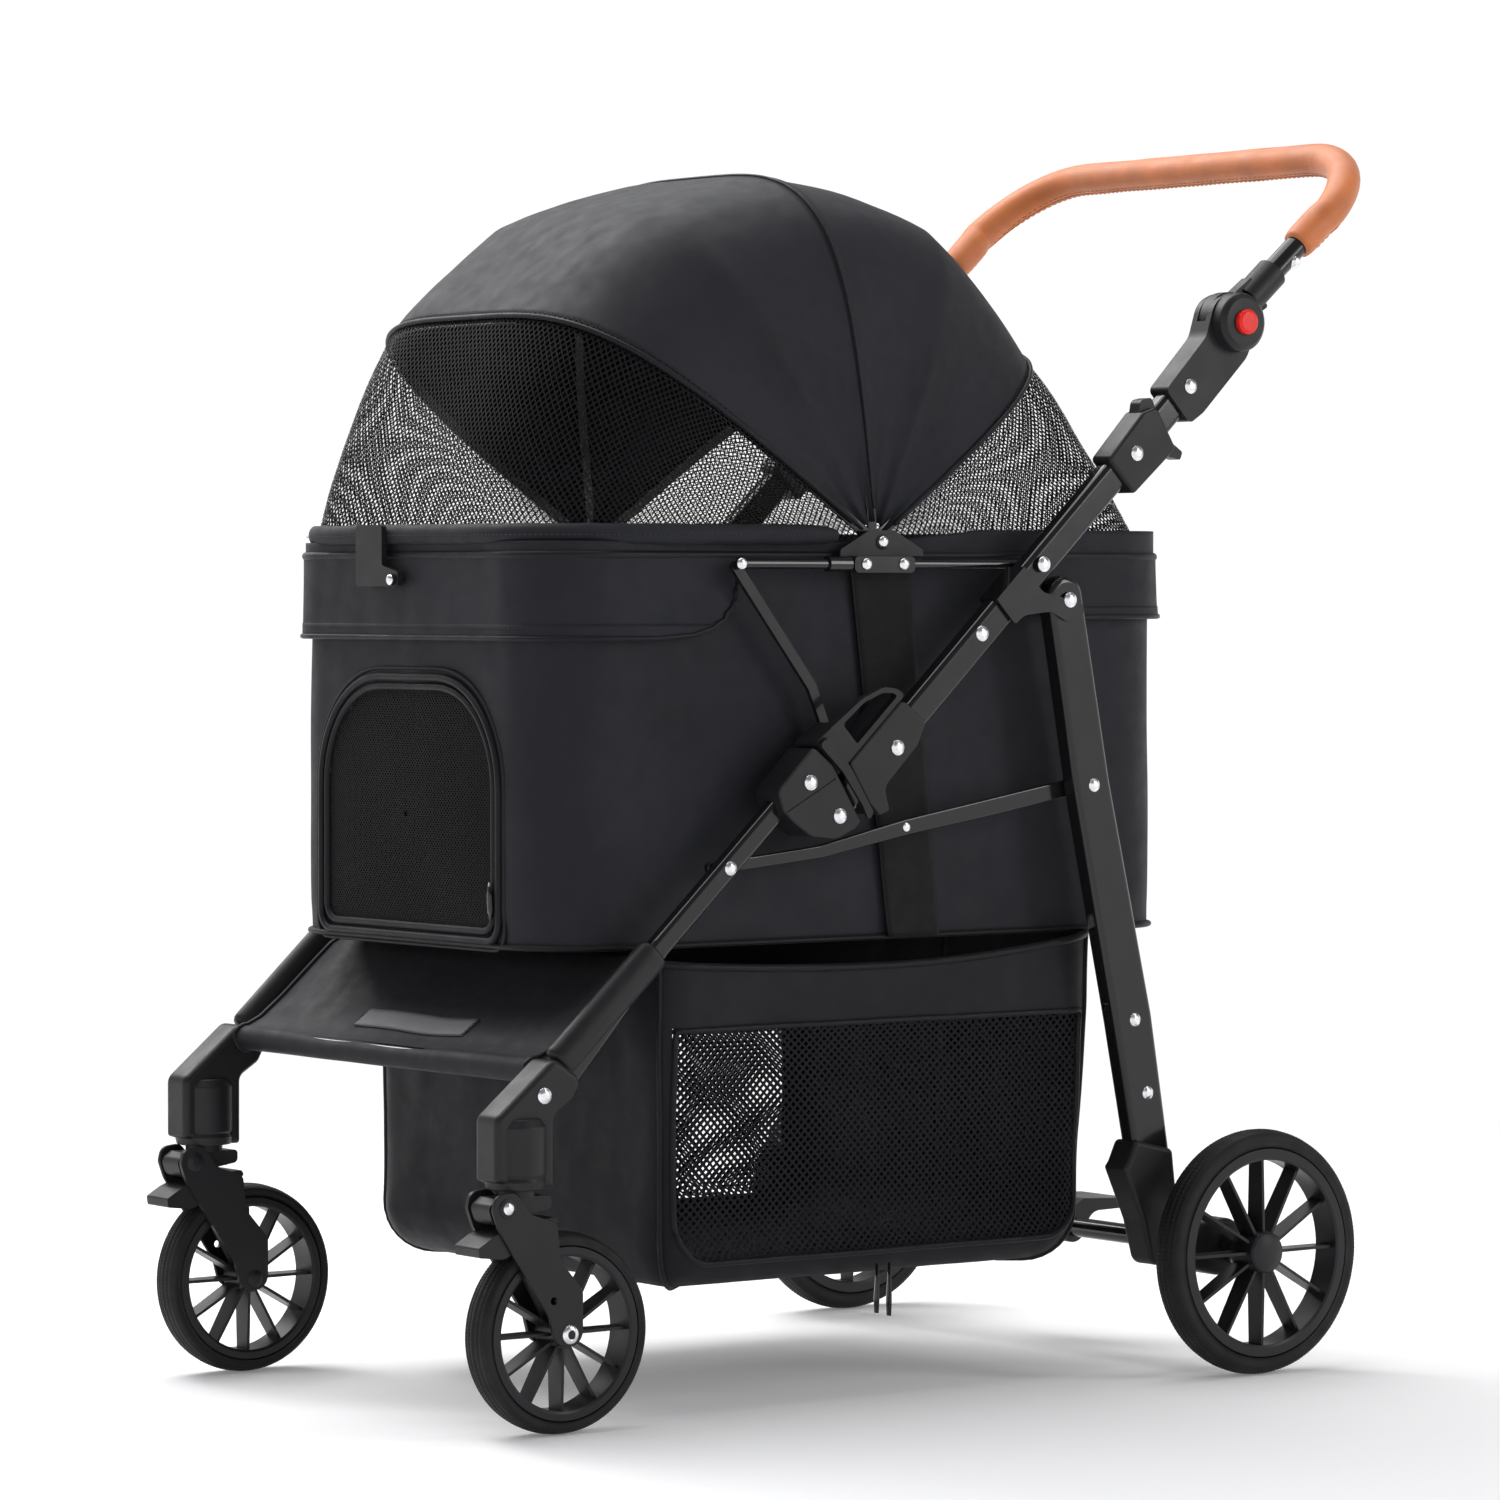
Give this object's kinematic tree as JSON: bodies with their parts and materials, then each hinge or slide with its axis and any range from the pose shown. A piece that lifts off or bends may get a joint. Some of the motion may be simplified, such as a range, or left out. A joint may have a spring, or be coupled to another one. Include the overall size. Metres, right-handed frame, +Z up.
{
  "type": "pet stroller",
  "caption": "Folding pet stroller: lift-off fabric carrier with zip door and bowed canopy, mesh basket, tilting leather handle, sprung swivel casters and spoked rear wheels",
  "frame": {"origin": "floor level, below the middle of the stroller's overall length and width", "axes": "+Z up, -Y the way the stroller faces (front casters), +X across to its own left side"},
  "size_m": [0.5696, 0.896, 0.987],
  "materials": {
    "frame_black": "gloss black paint",
    "joint_plastic": "dark grey satin plastic",
    "rivet_steel": "bright domed rivets",
    "rim_plastic": "dark grey semi-gloss",
    "tyre_rubber": "fine-tread black rubber",
    "red_button": "glossy red",
    "tan_leather": "stitched tan leather",
    "canopy_fabric": "charcoal coated twill",
    "mesh_fabric": "black open mesh",
    "strap_webbing": "black webbing"
  },
  "bodies": {
    "rear_frame": {"rear_leg_left": "frame_black", "rear_leg_right": "frame_black", "rear_housings": "joint_plastic", "rear_axle": "frame_black", "rear_frame_rivets": "rivet_steel"},
    "upper_frame": {"upper_tube_left": "frame_black", "upper_tube_right": "frame_black", "leg_brackets": "frame_black", "upper_housings": "joint_plastic", "tube_collars": "joint_plastic", "handle_sockets": "joint_plastic", "upper_frame_rivets": "rivet_steel"},
    "lower_frame": {"front_leg_left": "frame_black", "front_leg_right": "frame_black", "caster_housings": "joint_plastic", "cross_tube": "frame_black", "fold_housing_left": "joint_plastic", "fold_housing_right": "joint_plastic", "carrier_rails": "frame_black", "rail_struts": "frame_black", "footboard": "canopy_fabric", "basket": "mesh_fabric", "front_frame_rivets": "rivet_steel"},
    "slide_lock_left": {"slide_lock_left": "joint_plastic"},
    "slide_lock_right": {"slide_lock_right": "joint_plastic"},
    "handle": {"handle_tube": "frame_black", "handle_grip": "tan_leather", "handle_hubs": "joint_plastic", "handle_rivets": "rivet_steel"},
    "handle_button_left": {"handle_button_left": "red_button"},
    "handle_button_right": {"handle_button_right": "red_button"},
    "fold_brace_left": {"fold_brace_left": "frame_black"},
    "fold_brace_right": {"fold_brace_right": "frame_black"},
    "caster_left": {"caster_knuckle_left": "joint_plastic"},
    "caster_right": {"caster_knuckle_right": "joint_plastic"},
    "fork_left": {"caster_fork_left": "joint_plastic"},
    "fork_right": {"caster_fork_right": "joint_plastic"},
    "front_wheel_left": {"front_rim_left": "rim_plastic", "front_tyre_left": "tyre_rubber"},
    "front_wheel_right": {"front_rim_right": "rim_plastic", "front_tyre_right": "tyre_rubber"},
    "rear_wheel_left": {"rear_rim_left": "rim_plastic", "rear_tyre_left": "tyre_rubber"},
    "rear_wheel_right": {"rear_rim_right": "rim_plastic", "rear_tyre_right": "tyre_rubber"},
    "brake": {"brake_pedal": "joint_plastic"},
    "carrier": {"carrier_shell": "canopy_fabric", "carrier_rim": "joint_plastic", "carrier_valance": "canopy_fabric", "carrier_straps": "strap_webbing", "rear_window": "mesh_fabric"},
    "rear_bow": {"rear_bow": "frame_black"},
    "middle_bow": {"middle_bow": "frame_black", "canopy_back": "canopy_fabric"},
    "front_bow": {"front_bow": "frame_black", "canopy_front": "canopy_fabric"},
    "canopy_ring": {"canopy_ring": "frame_black", "front_mesh": "mesh_fabric"},
    "front_clip": {"front_clip": "joint_plastic"},
    "front_door": {"front_door": "mesh_fabric"}
  },
  "joints": [
    {"name": "leg_pivot", "type": "hinge", "parent": "rear_frame", "child": "upper_frame", "pos_m": [0, 0.1047, 0.6134], "axis": [1, 0, 0], "range_deg": [-69.4, 0]},
    {"name": "frame_fold", "type": "hinge", "parent": "upper_frame", "child": "lower_frame", "pos_m": [0, -0.1229, 0.4503], "axis": [-1, 0, 0], "range_deg": [-120, 0]},
    {"name": "brace_pivot_left", "type": "hinge", "parent": "lower_frame", "child": "fold_brace_left", "pos_m": [0, -0.2189, 0.4127], "axis": [1, 0, 0], "range_deg": [-95, 0]},
    {"name": "slide_lock_left", "type": "slide", "parent": "upper_frame", "child": "slide_lock_left", "axis": [0, 0.729, 0.6845], "range_m": [0, 0.015], "stiffness_N_per_m": 150, "springref_m": -0.01},
    {"name": "brace_pivot_right", "type": "hinge", "parent": "lower_frame", "child": "fold_brace_right", "pos_m": [0, -0.2189, 0.4127], "axis": [1, 0, 0], "range_deg": [-95, 0]},
    {"name": "slide_lock_right", "type": "slide", "parent": "upper_frame", "child": "slide_lock_right", "axis": [0, 0.729, 0.6845], "range_m": [0, 0.015], "stiffness_N_per_m": 150, "springref_m": -0.01},
    {"name": "handle_tilt", "type": "hinge", "parent": "upper_frame", "child": "handle", "pos_m": [0, 0.2735, 0.8336], "axis": [-1, 0, 0], "range_deg": [-75, 45]},
    {"name": "handle_button_left", "type": "slide", "parent": "handle", "child": "handle_button_left", "axis": [-1, 0, 0], "range_m": [0, 0.0035], "stiffness_N_per_m": 300, "springref_m": -0.006},
    {"name": "caster_swivel_left", "type": "hinge", "parent": "lower_frame", "child": "caster_left", "pos_m": [0.2207, -0.4087, 0.2], "axis": [0, 0, 1], "continuous": true},
    {"name": "fork_spring_left", "type": "hinge", "parent": "caster_left", "child": "fork_left", "pos_m": [0.2207, -0.428, 0.171], "axis": [1, 0, 0], "range_deg": [0, 6], "stiffness_Nm_per_rad": 25, "springref_deg": -9.17},
    {"name": "front_wheel_spin_left", "type": "hinge", "parent": "fork_left", "child": "front_wheel_left", "pos_m": [0.2207, -0.373, 0.075], "axis": [1, 0, 0], "continuous": true},
    {"name": "rear_wheel_spin_left", "type": "hinge", "parent": "rear_frame", "child": "rear_wheel_left", "pos_m": [0.2688, 0.2657, 0.09725], "axis": [1, 0, 0], "continuous": true},
    {"name": "handle_button_right", "type": "slide", "parent": "handle", "child": "handle_button_right", "axis": [1, 0, 0], "range_m": [0, 0.0035], "stiffness_N_per_m": 300, "springref_m": -0.006},
    {"name": "caster_swivel_right", "type": "hinge", "parent": "lower_frame", "child": "caster_right", "pos_m": [-0.2207, -0.4087, 0.2], "axis": [0, 0, 1], "continuous": true},
    {"name": "fork_spring_right", "type": "hinge", "parent": "caster_right", "child": "fork_right", "pos_m": [-0.2207, -0.428, 0.171], "axis": [1, 0, 0], "range_deg": [0, 6], "stiffness_Nm_per_rad": 25, "springref_deg": -9.17},
    {"name": "front_wheel_spin_right", "type": "hinge", "parent": "fork_right", "child": "front_wheel_right", "pos_m": [-0.2207, -0.373, 0.075], "axis": [1, 0, 0], "continuous": true},
    {"name": "rear_wheel_spin_right", "type": "hinge", "parent": "rear_frame", "child": "rear_wheel_right", "pos_m": [-0.2688, 0.2657, 0.09725], "axis": [1, 0, 0], "continuous": true},
    {"name": "brake_press", "type": "hinge", "parent": "rear_frame", "child": "brake", "pos_m": [0, 0.2657, 0.09725], "axis": [-1, 0, 0], "range_deg": [0, 18]},
    {"name": "carrier_lift", "type": "slide", "parent": "lower_frame", "child": "carrier", "axis": [0, 0, 1], "range_m": [0, 0.5]},
    {"name": "canopy_open", "type": "hinge", "parent": "carrier", "child": "rear_bow", "pos_m": [0, -0.056, 0.658], "axis": [-1, 0, 0], "range_deg": [0, 22.3], "deforming": ["rear_window"]},
    {"name": "middle_bow_fold", "type": "hinge", "parent": "rear_bow", "child": "middle_bow", "pos_m": [0, -0.056, 0.658], "axis": [-1, 0, 0], "range_deg": [0, 46.2], "deforming": ["canopy_back"]},
    {"name": "front_bow_fold", "type": "hinge", "parent": "middle_bow", "child": "front_bow", "pos_m": [0, -0.056, 0.658], "axis": [-1, 0, 0], "range_deg": [0, 35.1], "deforming": ["canopy_front"]},
    {"name": "canopy_ring_fold", "type": "hinge", "parent": "front_bow", "child": "canopy_ring", "pos_m": [0, -0.056, 0.658], "axis": [-1, 0, 0], "range_deg": [0, 27.7], "deforming": ["front_mesh"]},
    {"name": "clip_turn", "type": "hinge", "parent": "carrier", "child": "front_clip", "pos_m": [0, -0.3655, 0.629], "axis": [0, 1, 0], "range_deg": [0, 90]},
    {"name": "door_zip_open", "type": "hinge", "parent": "carrier", "child": "front_door", "pos_m": [0, -0.356, 0.358], "axis": [1, 0, 0], "range_deg": [0, 120]}
  ],
  "couplings": [
    {"joint": "leg_pivot", "follows": "frame_fold", "ratio": 0.5775},
    {"joint": "brace_pivot_left", "follows": "frame_fold", "ratio": 0.788},
    {"joint": "brace_pivot_right", "follows": "frame_fold", "ratio": 0.788},
    {"joint": "middle_bow_fold", "follows": "canopy_open", "ratio": 2.0672},
    {"joint": "front_bow_fold", "follows": "canopy_open", "ratio": 1.5695},
    {"joint": "canopy_ring_fold", "follows": "canopy_open", "ratio": 1.2377}
  ]
}
